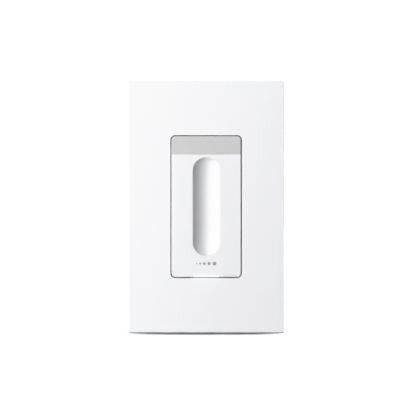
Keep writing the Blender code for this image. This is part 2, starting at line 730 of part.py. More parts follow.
def make_back_case():
    half_width, half_height = CASE_WIDTH / 2, CASE_HEIGHT / 2

    def outer(inset):
        return centred(CASE_WIDTH - 2 * inset, CASE_HEIGHT - 2 * inset, 2.2 - inset * 0.5, 3)

    back_edge = [(outer(0.3), CASE_BACK - 0.3), (outer(1.0), CASE_BACK)]
    case = stack([(outer(0.0), GAP), (outer(0.0), CASE_BACK - 1.0), *back_edge])
    cavity = centred(CASE_WIDTH - 2 * CASE_WALL, CASE_HEIGHT - 2 * CASE_WALL, 1.0, 3)
    inner_back = CASE_BACK - CASE_WALL
    cut(case, prism([cavity], "Y", -BEYOND, inner_back))
    posts = case_screw_places()
    join(case, *[drum(2.9, 0.5, inner_back + OVERLAP, "Y", post, 16) for post in posts])
    join(case, drum(2.2, -half_height + 1.0, LEVER_LOW - GAP, "Z", LEVER_PIVOT, 16))
    low_y, high_y = TERMINAL_Y - POCKET_DEPTH_Y / 2, TERMINAL_Y + POCKET_DEPTH_Y / 2
    half_pocket = POCKET_LENGTH / 2
    for _, side, z in terminal_places():

        def span(near, far):
            return tuple(sorted((side * near, side * far)))

        wall_z = (z - half_pocket - 1.2, z + half_pocket + 1.2)
        join(case, box(span(POCKET_FLOOR - 1.2, half_width - 0.5), (low_y - 1.2, CASE_BACK - 0.5), wall_z))
        pocket_z = (z - half_pocket, z + half_pocket)
        cut(case, box(span(POCKET_FLOOR, half_width + BEYOND), (low_y, high_y), pocket_z))
        cut(case, box(span(POCKET_FLOOR, 16.9), (low_y - 3.0, low_y + BEYOND), (z - 1.8, z + 1.8)))
        cut(case, drum(2.3, *span(12.0, POCKET_FLOOR + BEYOND), "X", (TERMINAL_Y, z), 14))
        for up in (-3.2, 3.2):
            cut(case, drum(1.4, high_y - BEYOND, CASE_BACK + BEYOND, "Y", (side * 17.7, z + up), 12))
    for post in posts:
        cut(case, drum(1.6, -BEYOND, CASE_BACK + BEYOND, "Y", post, 14))
    cut(case, drum(1.3, low_z_of_case(), 0.0, "Z", LEVER_PIVOT, 16))
    cut(case, box((-10.3, 10.3), (CASE_BACK - 0.5, CASE_BACK + BEYOND), (-9.3, 13.3)))
    for x in (-8.0, -4.0, 0.0, 4.0, 8.0):
        vent = rounded(x - 0.8, x + 0.8, -27.0, -15.0, 0.75, 3)
        cut(case, prism([vent], "Y", inner_back - BEYOND, CASE_BACK + BEYOND))
    nubs = []
    for sign in (-1, 1):
        for z in (-24.0, 24.0):
            nubs.append(drum(1.2, *sorted((sign * (half_width - 0.5), sign * 22.2)), "X", (5.0, z), 12))
    join(case, *nubs)
    add_part("back_case", case, "black_plastic")

    for number, (x, z) in enumerate(posts, 1):
        profile = [(0, -1.2), (1.3, -1.2), (1.3, 33.3), (2.6, 33.3), (2.6, 34.3), (2.0, 34.9), (0, 34.9)]
        screw = turned(profile, "Y", (x, z), 16)
        cut(screw, box((x - 4.0, x + 4.0), (34.1, 36.0), (z - 0.4, z + 0.4)))
        add_part(f"case_screw_{number}", screw, "steel")
    label = prism([rounded(-10.0, 10.0, -9.0, 13.0, 0.8, 3)], "Y", CASE_BACK - 0.2, CASE_BACK + 0.1)
    add_part("rating_label", label, "label")


def low_z_of_case():
    """The inner face of the case's bottom wall."""
    return CASE_WALL - CASE_HEIGHT / 2


# Screw terminals


def make_terminals():
    """Side terminals. Each clamp plate slides out as its screw turns."""
    low_y, high_y = TERMINAL_Y - POCKET_DEPTH_Y / 2 + GAP, TERMINAL_Y + POCKET_DEPTH_Y / 2 - GAP
    for number, side, z in terminal_places():

        def span(near, far):
            return tuple(sorted((side * near, side * far)))

        face = rounded(low_y, high_y, z - 5.2, z + 5.2, 0.4, 1)
        plate = prism([face, circle(2.2, (TERMINAL_Y, z), 14)], "X", *span(15.2, 16.6))
        join(plate, box(span(15.3, 16.5), (POWER_BOARD[1] + GAP, low_y + OVERLAP), (z - 1.5, z + 1.5)))
        add_part(f"terminal_plate_{number}", plate, "brass")

        slides = group(f"clamp_plate_{number}_body", (side * 16.9, TERMINAL_Y, z))
        face = rounded(TERMINAL_Y - 4.5, TERMINAL_Y + 4.5, z - 4.3, z + 4.3, 0.5, 1)
        clamp = prism([face, circle(2.2, (TERMINAL_Y, z), 14)], "X", *span(16.9, 18.1))
        add_part(f"clamp_plate_{number}", clamp, "steel", slides)

        turns = group(f"terminal_screw_{number}_body", (side * 18.4, TERMINAL_Y, z), slides)
        shank = [(0, 13.2), (1.3, 13.2), (1.9, 13.9), (1.9, 18.4)]
        head = [(3.6, 18.4), (3.6, 20.1), (3.1, 20.6), (0, 20.6)]
        screw = turned([(radius, side * x) for radius, x in shank + head], "X", (TERMINAL_Y, z), 16)
        slot = box(span(19.5, 22.0), (TERMINAL_Y - 5.0, TERMINAL_Y + 5.0), (z - 0.55, z + 0.55))
        cut(screw, slot)
        add_part(f"terminal_screw_{number}", screw, "brass", turns)


def make_ground_terminal():
    """The green screw on the yoke's ground tab, which faces down."""
    x, y = GROUND_X, GROUND_Y
    clamp_high = GROUND_TAB[0] - GAP
    clamp_low = clamp_high - 0.6
    slides = group("ground_clamp_body", (x, y, clamp_high))
    clamp = prism([circle(4.0, (x, y), 20), circle(2.2, (x, y), 14)], "Z", clamp_low, clamp_high)
    add_part("ground_clamp", clamp, "steel", slides)
    head_high = clamp_low - GAP
    head_low = head_high - 1.9
    turns = group("ground_screw_body", (x, y, head_high), slides)
    head = [(0, head_low), (3.1, head_low), (3.6, head_low + 0.5), (3.6, head_high), (1.9, head_high)]
    screw = turned([*head, (1.9, -37.1), (1.3, -36.5), (0, -36.5)], "Z", (x, y), 16)
    cut(screw, box((x - 5.0, x + 5.0), (y - 0.55, y + 0.55), (head_low - BEYOND, head_low + 1.0)))
    add_part("ground_screw", screw, "green_screw", turns)


def main():
    for old in list(bpy.data.objects):
        bpy.data.objects.remove(old)
    make_wall_plate()
    make_sub_plate()
    make_plate_screws()
    make_face_panel()
    make_sensor_window()
    make_light_pipe()
    make_front_frame()
    make_touch_electrode()
    make_control_board()
    make_setup_button()
    make_power_board()
    make_heat_path()
    make_air_gap_slider()
    make_contact_lever()
    make_yoke()
    make_box_screws()
    make_back_case()
    make_terminals()
    make_ground_terminal()


main()
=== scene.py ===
"""Looks for a single-gang touch dimmer and its screwless wall plate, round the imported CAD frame.

Frame: +Z up, the front faces -Y, and y = 0 is the wall's plane. Shapes are built in millimetres,
and finish_piece scales each one to metres.
"""

import json
import math

import bmesh
import bpy
from mathutils import Matrix, Vector

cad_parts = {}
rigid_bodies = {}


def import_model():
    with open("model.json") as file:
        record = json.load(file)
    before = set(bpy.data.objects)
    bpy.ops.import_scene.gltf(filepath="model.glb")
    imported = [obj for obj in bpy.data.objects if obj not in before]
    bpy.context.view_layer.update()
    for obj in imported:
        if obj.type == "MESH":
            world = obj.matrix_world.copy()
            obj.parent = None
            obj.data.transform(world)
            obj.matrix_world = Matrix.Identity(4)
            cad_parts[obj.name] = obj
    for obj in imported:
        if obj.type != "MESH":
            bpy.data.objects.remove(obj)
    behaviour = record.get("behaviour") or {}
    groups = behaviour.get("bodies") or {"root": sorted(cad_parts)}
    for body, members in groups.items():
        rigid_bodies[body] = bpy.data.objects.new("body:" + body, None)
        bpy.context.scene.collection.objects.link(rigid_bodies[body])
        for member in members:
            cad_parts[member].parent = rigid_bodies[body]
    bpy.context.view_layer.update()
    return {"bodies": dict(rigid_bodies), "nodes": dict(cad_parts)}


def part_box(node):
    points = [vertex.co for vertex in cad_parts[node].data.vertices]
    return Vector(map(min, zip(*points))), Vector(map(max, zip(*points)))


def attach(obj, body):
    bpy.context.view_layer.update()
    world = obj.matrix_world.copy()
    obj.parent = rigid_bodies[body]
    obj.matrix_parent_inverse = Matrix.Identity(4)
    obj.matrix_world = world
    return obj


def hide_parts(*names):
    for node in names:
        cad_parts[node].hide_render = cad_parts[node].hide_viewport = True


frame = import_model()

MM = 0.001
BEYOND = 1.0  # how far a cutter runs past the face that it opens
HAIRLINE = 0.04  # half of the seam between pieces that touch
SAME_POINT = 0.002  # vertices closer than this are one
SHARP_ANGLE = 32  # edges that turn by more than this stay sharp


def span_mm(node):
    """((left, right), (front, back), (low, high)) of a CAD node, in millimetres."""
    low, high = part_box(node)
    return tuple((a / MM, b / MM) for a, b in zip(low, high))


PLATE_X, PLATE_Y, PLATE_Z = span_mm("wall_plate")
PLATE_WALL, PLATE_FACE_WALL = 1.5, 1.7
PLATE_CORNER, PLATE_EDGE = 0.9, 0.4
OPENING = (33.6, 67.2, 2.2)  # width, height, corner radius
OPENING_EDGE = 0.15
COLLAR_WALL, COLLAR_BACK = 1.2, -3.2

FACE_WIDTH, FACE_HEIGHT, FACE_RADIUS = 32.66, 66.26, 1.73
FACE_FRONT = span_mm("face_panel")[1][0]
FACE_BACK, FACE_WALL, SKIRT, FACE_EDGE = -3.7, 1.6, 1.2, 0.3
SEAM, SEAM_WALL, BAND_WALL = 24.65, 0.6, 1.4
GROOVE_WIDTH, GROOVE_DEPTH, GROOVE_END = 12.5, 5.2, 16.95
GROOVE_RADIUS = ((GROOVE_WIDTH / 2) ** 2 + GROOVE_DEPTH ** 2) / (2 * GROOVE_DEPTH)
GROOVE_AXIS = FACE_FRONT + GROOVE_DEPTH - GROOVE_RADIUS
GROOVE_WALL, GROOVE_EDGE = 1.4, 0.4
BAR_HALF_WIDTH, BAR_HEIGHT = 6.2, 0.9
TAB_X, ROD_X = (9.0, 14.0), (10.2, 12.8)
TUB_LOW, TUB_FLOOR = -32.0, 1.4  # the front frame's tub: its low end, and its wall plus clearance
PIN_X, PIN_Y, BLOCK_TOP = 11.5, 8.6, -29.0  # the lever's pin, and the block with its slot

BOX_SCREW_Z, PLATE_SCREW_Z = 41.65, 48.4
CASE_SCREW_X, CASE_SCREW_Z = 17.6, 31.2
TERMINAL_Y, TERMINAL_Z = 22.0, 15.5
GROUND_SCREW = (-15.5, 4.8)  # x and y of its axis, which is upright
NO_6_RADIUS, NO_8_RADIUS = 1.62, 1.92
PITCH, THREAD_DEPTH = 0.794, 0.3  # of 32 threads to the inch
SCREW_SIDES, CROSS_LENGTH = 28, 3.4
WHITE_POINT = 1.5  # the radiance that the picture shows as white


# Outlines, as lists of (a, b) points that run anticlockwise


def outline(across, up, radii, steps=8):
    """A rectangle with a radius for each corner: right top, left top, left bottom, right bottom."""
    signs = ((1, 1), (-1, 1), (-1, -1), (1, -1))
    points = []
    for corner, ((right, top), radius) in enumerate(zip(signs, radii)):
        a = across[right > 0] - right * radius
        b = up[top > 0] - top * radius
        for step in range(steps + 1):
            turn = math.pi / 2 * (corner + step / steps)
            points.append((a + radius * math.cos(turn), b + radius * math.sin(turn)))
    return points


def centred(width, height, radius, steps=8, middle=(0.0, 0.0)):
    across = (middle[0] - width / 2, middle[0] + width / 2)
    up = (middle[1] - height / 2, middle[1] + height / 2)
    return outline(across, up, [radius] * 4, steps)


def stadium(half_width, end=GROOVE_END, steps=8):
    """The outline of a slot along b with round ends about b = -end and b = end."""
    radius = half_width - 2 * SAME_POINT
    up = (-end - half_width, end + half_width)
    return outline((-half_width, half_width), up, [radius] * 4, steps)


def circle(radius, centre=(0.0, 0.0), sides=32):
    turns = [math.tau * side / sides for side in range(sides)]
    return [(centre[0] + radius * math.cos(t), centre[1] + radius * math.sin(t)) for t in turns]


def fillet(radius, steps=5):
    """(inset, depth) along a rounded edge, from the side to the front."""
    turns = [math.pi / 2 * step / steps for step in range(steps + 1)]
    return [(radius * (1 - math.cos(t)), radius * (1 - math.sin(t))) for t in turns]


# Solids, as objects in millimetres


def place(axis, a, b, level):
    if axis == "X":
        return (level, a, b)
    if axis == "Y":
        return (a, level, b)
    return (a, b, level)


def object_from(builder):
    mesh = bpy.data.meshes.new("shape")
    bmesh.ops.remove_doubles(builder, verts=builder.verts, dist=SAME_POINT)
    bmesh.ops.recalc_face_normals(builder, faces=builder.faces)
    builder.to_mesh(mesh)
    builder.free()
    shape = bpy.data.objects.new("shape", mesh)
    bpy.context.scene.collection.objects.link(shape)
    return shape


def ring_of(builder, points, level, axis="Y"):
    return [builder.verts.new(place(axis, a, b, level)) for a, b in points]


def skin(builder, rings):
    """The faces between each ring of vertices and the next. A ring may be one vertex repeated."""
    for first, second in zip(rings, rings[1:]):
        for here in range(len(first)):
            there = (here + 1) % len(first)
            corners = (first[here], first[there], second[there], second[here])
            builder.faces.new(list(dict.fromkeys(corners)))


def loft(sections, axis="Y", closed=False):
    """A skin through (outline, level) sections, capped unless it closes on itself."""
    builder = bmesh.new()
    rings = [ring_of(builder, points, level, axis) for points, level in sections]
    if closed:
        rings.append(rings[0])
    else:
        builder.faces.new(rings[0])
        builder.faces.new(rings[-1])
    skin(builder, rings)
    return object_from(builder)


def prism(points, axis, low, high):
    return loft([(points, low), (points, high)], axis)


def box(x, y, z):
    return prism(outline(x, z, [0.001] * 4, 1), "Y", *y)


def below_crest(level, turn, pitch):
    """How far below its crest the thread is at this level and angle, from 0 to 1."""
    phase = (level / pitch - turn / math.tau) % 1.0
    return min(1.0, abs(2 * phase - 1) * 1.5)


def turned(profile, axis, centre=(0.0, 0.0), sides=32, thread=None):
    """A (radius, level) profile turned round an axis.

    The thread is (one end, other end, pitch, depth), and there is none without it.
    """
    builder = bmesh.new()
    rings = []
    for radius, level in profile:
        if radius == 0:
            rings.append([builder.verts.new(place(axis, *centre, level))] * sides)
            continue
        ring = []
        for side in range(sides):
            turn = math.tau * side / sides
            out = radius
            if thread and min(thread[:2]) <= level <= max(thread[:2]):
                out -= thread[3] * below_crest(level, turn, thread[2])
            a, b = centre[0] + out * math.cos(turn), centre[1] + out * math.sin(turn)
            ring.append(builder.verts.new(place(axis, a, b, level)))
        rings.append(ring)
    skin(builder, rings)
    return object_from(builder)


def threaded_shank(radius, start, end, pitch=PITCH, per_turn=6):
    """Profile points along a threaded stretch."""
    count = max(2, round(abs(end - start) / pitch * per_turn))
    return [(radius, start + (end - start) * step / count) for step in range(count + 1)]


def combine(target, operation, tools):
    """Cuts the tools from the target or joins them to it, and removes them."""
    for tool in tools:
        modifier = target.modifiers.new(operation, "BOOLEAN")
        modifier.operation = operation
        modifier.solver = "EXACT"
        modifier.object = tool
    graph = bpy.context.evaluated_depsgraph_get()
    made = bpy.data.meshes.new_from_object(target.evaluated_get(graph))
    target.modifiers.clear()
    builder = bmesh.new()
    builder.from_mesh(made)
    bmesh.ops.remove_doubles(builder, verts=builder.verts, dist=SAME_POINT)
    bmesh.ops.dissolve_degenerate(builder, dist=SAME_POINT / 2, edges=builder.edges)
    builder.to_mesh(made)
    builder.free()
    target.data = made
    for tool in tools:
        bpy.data.objects.remove(tool)
    return target


def cut(target, *tools):
    return combine(target, "DIFFERENCE", tools)


def join(target, *tools):
    return combine(target, "UNION", tools)


def finish_piece(shape, name, body, slot, replaced=()):
    """Names a shape, scales it to metres, smooths its shading, and hangs it on its body."""
    shape.name = name
    shape.data.name = name
    shape.data.transform(Matrix.Scale(MM, 4))
    shape.data.materials.clear()
    shape.data.materials.append(MATERIALS[slot])
    shape.data.shade_smooth()
    shape.data.set_sharp_from_angle(angle=math.radians(SHARP_ANGLE))
    flat = shape.modifiers.new("flat faces", "WEIGHTED_NORMAL")
    flat.keep_sharp = True
    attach(shape, body)
    if replaced:
        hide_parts(*replaced)
    return shape


# Materials


def link_noise(tree, scale, detail=3.0, stretch=(1.0, 1.0, 1.0), vector=None):
    """A noise texture in object coordinates, with features about 1 / scale metres across."""
    if vector is None:
        coordinates = tree.nodes.new("ShaderNodeTexCoord")
        mapping = tree.nodes.new("ShaderNodeMapping")
        mapping.inputs["Scale"].default_value = stretch
        tree.links.new(coordinates.outputs["Object"], mapping.inputs["Vector"])
        vector = mapping.outputs["Vector"]
    noise = tree.nodes.new("ShaderNodeTexNoise")
    noise.inputs["Scale"].default_value = scale
    noise.inputs["Detail"].default_value = detail
    tree.links.new(vector, noise.inputs["Vector"])
    return noise.outputs["Fac"]


def ramp(tree, value, low, high, start=0.35, end=0.65):
    """Maps a 0 to 1 value between two colours or two grey levels."""
    stops = tree.nodes.new("ShaderNodeValToRGB")
    first, last = stops.color_ramp.elements
    first.position, last.position = start, end
    first.color = (*low, 1.0) if isinstance(low, tuple) else (low, low, low, 1.0)
    last.color = (*high, 1.0) if isinstance(high, tuple) else (high, high, high, 1.0)
    tree.links.new(value, stops.inputs["Fac"])
    return stops.outputs["Color"]


def mixed(tree, factor, first, second):
    mix = tree.nodes.new("ShaderNodeMix")
    mix.data_type = "RGBA"
    tree.links.new(factor, mix.inputs["Factor"])
    for value, socket in ((first, mix.inputs[6]), (second, mix.inputs[7])):
        if isinstance(value, tuple):
            socket.default_value = (*value, 1.0)
        else:
            tree.links.new(value, socket)
    return mix.outputs[2]


def edge_mask(tree, radius, low=0.0008, high=0.02):
    """White along convex and concave edges, from how far a rounded normal leans from the true one."""
    rounded = tree.nodes.new("ShaderNodeBevel")
    rounded.samples = 4
    rounded.inputs["Radius"].default_value = radius
    geometry = tree.nodes.new("ShaderNodeNewGeometry")
    dot = tree.nodes.new("ShaderNodeVectorMath")
    dot.operation = "DOT_PRODUCT"
    tree.links.new(rounded.outputs["Normal"], dot.inputs[0])
    tree.links.new(geometry.outputs["Normal"], dot.inputs[1])
    spread = tree.nodes.new("ShaderNodeMapRange")
    spread.inputs["From Min"].default_value = 1.0 - low
    spread.inputs["From Max"].default_value = 1.0 - high
    tree.links.new(dot.outputs["Value"], spread.inputs["Value"])
    return spread.outputs["Result"]


def shaded(colour, factor):
    return tuple(min(1.0, part * factor) for part in colour)


def surface(name, colour, rough, metal=0.0, mottle=0.015, mottle_scale=140.0, grain=2600.0,
            bump=0.00002, stretch=(1.0, 1.0, 1.0), wear=1.06, wear_radius=0.00035, spread=0.07,
            coat=0.0, specular=0.5):
    """A material with mottled colour, a grain in bump and roughness, and worn edges."""
    material = bpy.data.materials.new(name)
    material.use_nodes = True
    tree = material.node_tree
    shader = tree.nodes["Principled BSDF"]
    shader.inputs["Metallic"].default_value = metal
    shader.inputs["Coat Weight"].default_value = coat
    shader.inputs["Specular IOR Level"].default_value = specular
    broad = link_noise(tree, mottle_scale, 4.0)
    fine = link_noise(tree, grain, 3.0, stretch)
    base = ramp(tree, broad, shaded(colour, 1 - mottle), shaded(colour, 1 + mottle))
    worn = mixed(tree, edge_mask(tree, wear_radius), base, shaded(colour, wear))
    tree.links.new(worn, shader.inputs["Base Color"])
    tree.links.new(ramp(tree, fine, rough - spread, rough + spread), shader.inputs["Roughness"])
    relief = tree.nodes.new("ShaderNodeBump")
    relief.inputs["Distance"].default_value = bump
    relief.inputs["Strength"].default_value = 1.0
    tree.links.new(fine, relief.inputs["Height"])
    tree.links.new(relief.outputs["Normal"], shader.inputs["Normal"])
    return material


def brushed(name, colour, rough, stretch=(1.0, 1.0, 14.0), **look):
    """A metal with fine lines drawn along one axis."""
    settings = {"mottle": 0.05, "grain": 900.0, "bump": 0.000012, "wear": 1.25, "spread": 0.12}
    settings.update(look)
    return surface(name, colour, rough, 1.0, stretch=stretch, **settings)


def lit_plastic(name, colour, glow, strength):
    """Plastic that glows with its own faint cloudy light."""
    material = surface(name, colour, 0.3, mottle=0.01)
    tree = material.node_tree
    shader = tree.nodes["Principled BSDF"]
    shader.inputs["Emission Strength"].default_value = strength
    cloud = link_noise(tree, 400.0, 2.0)
    tree.links.new(ramp(tree, cloud, shaded(glow, 0.95), glow), shader.inputs["Emission Color"])
    return material


def board_material(name):
    """Green solder mask with copper tracks just under it and bright pads."""
    material = surface(name, (0.012, 0.13, 0.05), 0.32, mottle=0.06, coat=0.3, wear=1.5)
    tree = material.node_tree
    shader = tree.nodes["Principled BSDF"]
    coordinates = tree.nodes.new("ShaderNodeTexCoord")
    turn = tree.nodes.new("ShaderNodeMapping")
    turn.inputs["Rotation"].default_value = (math.pi / 2, 0.0, 0.0)
    tree.links.new(coordinates.outputs["Object"], turn.inputs["Vector"])
    tracks = tree.nodes.new("ShaderNodeTexBrick")
    tracks.inputs["Scale"].default_value = 260.0
    tracks.inputs["Mortar Size"].default_value = 0.05
    tracks.inputs["Color1"].default_value = (0.0, 0.0, 0.0, 1.0)
    tracks.inputs["Color2"].default_value = (0.15, 0.15, 0.15, 1.0)
    tracks.inputs["Mortar"].default_value = (1.0, 1.0, 1.0, 1.0)
    tree.links.new(turn.outputs["Vector"], tracks.inputs["Vector"])
    base = shader.inputs["Base Color"].links[0].from_socket
    printed = mixed(tree, tracks.outputs["Color"], base, (0.03, 0.24, 0.09))
    tree.links.new(printed, shader.inputs["Base Color"])
    return material


def make_materials():
    white = (0.732, 0.734, 0.752)
    face_white = (0.718, 0.720, 0.738)
    made = {
        "white_cover": surface("satin white cover", white, 0.5, wear=1.02, mottle=0.004,
                                specular=0.35),
        "white_face": surface("satin white face", face_white, 0.56, wear=1.02, mottle=0.004,
                               grain=3200.0, specular=0.25),
        "grey_window": surface("grey sensor window", (0.495, 0.495, 0.495), 0.34, mottle=0.012,
                               grain=2400.0),
        "light_pipe": lit_plastic("lit light pipe", (0.30, 0.31, 0.33), (0.93, 0.96, 1.0), 0.72),
        "dark_plastic": surface("moulded black case", (0.022, 0.022, 0.025), 0.46, mottle=0.12,
                                grain=1500.0, bump=0.00006, wear=2.6, spread=0.1, specular=0.35),
        "aluminium": brushed("brushed aluminium", (0.70, 0.71, 0.73), 0.34),
        "steel": brushed("zinc plated steel", (0.58, 0.60, 0.62), 0.30, (1.0, 6.0, 1.0), mottle=0.09),
        "brass": brushed("brass", (0.76, 0.56, 0.24), 0.28, (5.0, 1.0, 1.0), mottle=0.08),
        "copper": brushed("copper", (0.78, 0.40, 0.24), 0.28, (1.0, 3.0, 1.0), mottle=0.10),
        "green_screw": surface("green passivated screw", (0.05, 0.34, 0.12), 0.30, 0.7, mottle=0.12,
                               wear=1.8),
        "circuit_board": board_material("circuit board"),
        "dark_component": surface("dark component", (0.035, 0.036, 0.042), 0.40, mottle=0.15, wear=2.2),
        "yellow_component": surface("yellow component", (0.72, 0.52, 0.07), 0.42, mottle=0.06,
                                    wear=1.25),
        "fuse_glass": surface("fuse glass", (0.72, 0.78, 0.80), 0.10, coat=0.6, spread=0.04),
        "fibre": surface("fibre washer", (0.50, 0.40, 0.25), 0.80, mottle=0.16, mottle_scale=500.0,
                         grain=1800.0, bump=0.0001, stretch=(1.0, 1.0, 4.0), wear=1.25,
                         specular=0.2),
        "label": brushed("silver label", (0.62, 0.63, 0.64), 0.42, (12.0, 1.0, 1.0), wear=1.05),
    }
    made["label"].node_tree.nodes["Principled BSDF"].inputs["Metallic"].default_value = 0.35
    return made


MATERIALS = make_materials()
CAD_SLOTS = {
    "white_cover": ("sub_plate", "setup_button"),
    "light_pipe": ("status_led",),
    "dark_plastic": ("front_frame", "back_case", "contact_lever"),
    "aluminium": ("yoke", "heat_sink_left", "heat_sink_right"),
    "steel": ("motion_sensor", "wireless_module", "lever_pin", "ground_clamp",
              *[f"clamp_plate_{number}" for number in range(1, 5)]),
    "brass": ("fixed_contact", *[f"terminal_plate_{number}" for number in range(1, 5)]),
    "copper": ("touch_electrode", "moving_contact", "choke"),
    "circuit_board": ("control_board", "power_board"),
    "dark_component": ("light_sensor", "setup_switch", "board_connector", "electrolytic_capacitor",
                       "mosfet_left", "mosfet_right"),
    "yellow_component": ("film_capacitor", "transformer"),
    "fuse_glass": ("fuse",),
    "fibre": ("retainer_washer_top", "retainer_washer_bottom"),
    "label": ("rating_label",),
}


def dress_cad_nodes():
    """Gives each CAD node that stays in view its finished material."""
    for slot, names in CAD_SLOTS.items():
        for name in names:
            node = frame["nodes"][name]
            node.data.materials.clear()
            node.data.materials.append(MATERIALS[slot])


# Cover plate


def make_cover_plate():
    width, height = PLATE_X[1] - PLATE_X[0], PLATE_Z[1] - PLATE_Z[0]
    front, back = PLATE_Y

    def outer(inset):
        return centred(width - 2 * inset, height - 2 * inset, PLATE_CORNER - 0.5 * inset)

    def opening(grow):
        return centred(OPENING[0] + 2 * grow, OPENING[1] + 2 * grow, OPENING[2] + grow)

    def cavity(inset=PLATE_WALL):
        return centred(width - 2 * inset, height - 2 * inset, 0.6)

    rim, inner = 0.25, front + PLATE_FACE_WALL
    outer_edge = [(outer(inset), front + depth) for inset, depth in fillet(PLATE_EDGE, 7)]
    opening_edge = [(opening(grow), front + depth) for grow, depth in fillet(OPENING_EDGE, 4)]
    sections = [(outer(rim), back), (outer(0.0), back - rim), *outer_edge, *reversed(opening_edge)]
    sections += [(opening(0.0), COLLAR_BACK), (opening(COLLAR_WALL), COLLAR_BACK)]
    sections += [(opening(COLLAR_WALL), inner), (cavity(), inner)]
    sections += [(cavity(), back - rim), (cavity(PLATE_WALL - rim), back)]
    plate = loft(sections, closed=True)
    pry_slot = box((-4.0, 4.0), (-1.2, BEYOND), (PLATE_Z[0] - BEYOND, PLATE_Z[0] + 2.0))
    cut(plate, pry_slot)
    join(plate, *[lug(*spot) for spot in lug_places()])
    finish_piece(plate, "cover_plate", "plate", "white_cover", ["wall_plate"])


def lug_places():
    """(x, z, runs along z) of the snap lugs, round the inside of the cover."""
    side, end = PLATE_X[1] - PLATE_WALL, PLATE_Z[1] - PLATE_WALL
    sides = [(sign * side, z, True) for sign in (-1, 1) for z in (-38.0, 38.0)]
    return sides + [(0.0, sign * end, False) for sign in (-1, 1)]


def lug(x, z, upright):
    """A snap lug with sloped flanks that stands 0.7 mm in from the cover's inner face."""
    reach, root, half = 0.7, 0.4, 3.0
    base, middle = (x, z) if upright else (z, x)
    sign = math.copysign(1.0, base)
    section = [(base + sign * root, -1.6), (base, -1.6), (base - sign * reach, -1.3),
               (base - sign * reach, -0.9), (base, -0.6), (base + sign * root, -0.6)]
    if upright:
        return prism(section, "Z", middle - half, middle + half)
    return prism([(y, level) for level, y in section], "X", middle - half, middle + half)


# Face with the groove, sensor band, lit bar, pull tab and mark


def face_outline(inset, low=-FACE_HEIGHT / 2, high=FACE_HEIGHT / 2, top_radius=FACE_RADIUS,
                 bottom_radius=FACE_RADIUS):
    """The face's outline between two heights. The inset is kept off a square end."""
    left, right = -FACE_WIDTH / 2 + inset, FACE_WIDTH / 2 - inset
    top = max(0.001, top_radius - inset)
    bottom = max(0.001, bottom_radius - inset)
    low_edge = low + (inset if bottom_radius > 0.1 else 0.0)
    high_edge = high - (inset if top_radius > 0.1 else 0.0)
    return outline((left, right), (low_edge, high_edge), (top, top, bottom, bottom))


def groove_rings(radius, low_angle, high_angle, steps):
    """Stadium sections of the groove at this radius about its axis, from the rim down to the floor."""
    rings = []
    for step in range(steps + 1):
        angle = high_angle + (low_angle - high_angle) * step / steps
        rings.append((stadium(radius * math.sin(angle)), GROOVE_AXIS + radius * math.cos(angle)))
    return rings


def groove_rim():
    """Sections over the rounded edge between the flat face and the groove's wall, and its lean."""
    reach = GROOVE_RADIUS + GROOVE_EDGE
    level = FACE_FRONT + GROOVE_EDGE
    lean = math.acos((level - GROOVE_AXIS) / reach)
    centre = reach * math.sin(lean)
    rings = []
    for step in range(7):
        turn = lean * step / 6
        half_width = centre - GROOVE_EDGE * math.sin(turn)
        rings.append((stadium(half_width), level - GROOVE_EDGE * math.cos(turn)))
    return rings, lean


def make_face_shell():
    top = SEAM - HAIRLINE

    def outer(inset):
        return face_outline(inset, high=top, top_radius=0.0)

    rim, lean = groove_rim()
    floor_lean = 0.02  # the angle where the groove's floor becomes a flat cap
    hollow = face_outline(SKIRT, high=top - SEAM_WALL, top_radius=0.0)
    front = [(hollow, FACE_BACK), (outer(0.0), FACE_BACK)]
    front += [(outer(inset), FACE_FRONT + depth) for inset, depth in fillet(FACE_EDGE, 4)]
    front += rim + groove_rings(GROOVE_RADIUS, floor_lean, lean, 18)[1:]
    back_radius = GROOVE_RADIUS + GROOVE_WALL
    inner = FACE_FRONT + FACE_WALL
    back_lean = math.acos((inner - GROOVE_AXIS) / back_radius)
    rear = [(hollow, FACE_BACK), (hollow, inner)]
    rear += groove_rings(back_radius, floor_lean, back_lean, 10)
    panel = sewn(front, rear)
    low, notches = -FACE_HEIGHT / 2, []
    for left, right in ((-BAR_HALF_WIDTH, BAR_HALF_WIDTH), TAB_X):
        x = (left - 2 * HAIRLINE, right + 2 * HAIRLINE)
        z = (low - BEYOND, low + BAR_HEIGHT + 2 * HAIRLINE)
        notches.append(box(x, (FACE_FRONT - BEYOND, BEYOND), z))
    cut(panel, *notches)
    finish_piece(panel, "touch_face", "housing", "white_face", ["face_panel"])


def sewn(*chains):
    """One closed shell from lists of sections that start on the same ring and end in a cap each."""
    builder = bmesh.new()
    for sections in chains:
        rings = [ring_of(builder, points, level) for points, level in sections]
        builder.faces.new(rings[-1])
        skin(builder, rings)
    bmesh.ops.remove_doubles(builder, verts=builder.verts, dist=SAME_POINT / 4)
    return object_from(builder)


def make_sensor_band():
    low = SEAM + HAIRLINE

    def outer(inset):
        return face_outline(inset, low=low, bottom_radius=0.0)

    sections = [(outer(0.0), FACE_BACK)]
    sections += [(outer(inset), FACE_FRONT + depth) for inset, depth in fillet(FACE_EDGE, 4)]
    band = loft(sections)
    across, up = FACE_WIDTH / 2 - SKIRT, (low - BEYOND, FACE_HEIGHT / 2 - SKIRT)
    inner = outline((-across, across), up, [0.5] * 4)
    cut(band, prism(inner, "Y", FACE_FRONT + BAND_WALL, BEYOND))
    finish_piece(band, "sensor_band", "housing", "grey_window", ["sensor_window"])


def bottom_edge():
    """(y, z) points round the rounded edge that the bar and the tab share with the face."""
    low = -FACE_HEIGHT / 2
    return [(FACE_FRONT + depth, low + inset) for inset, depth in fillet(FACE_EDGE, 4)]


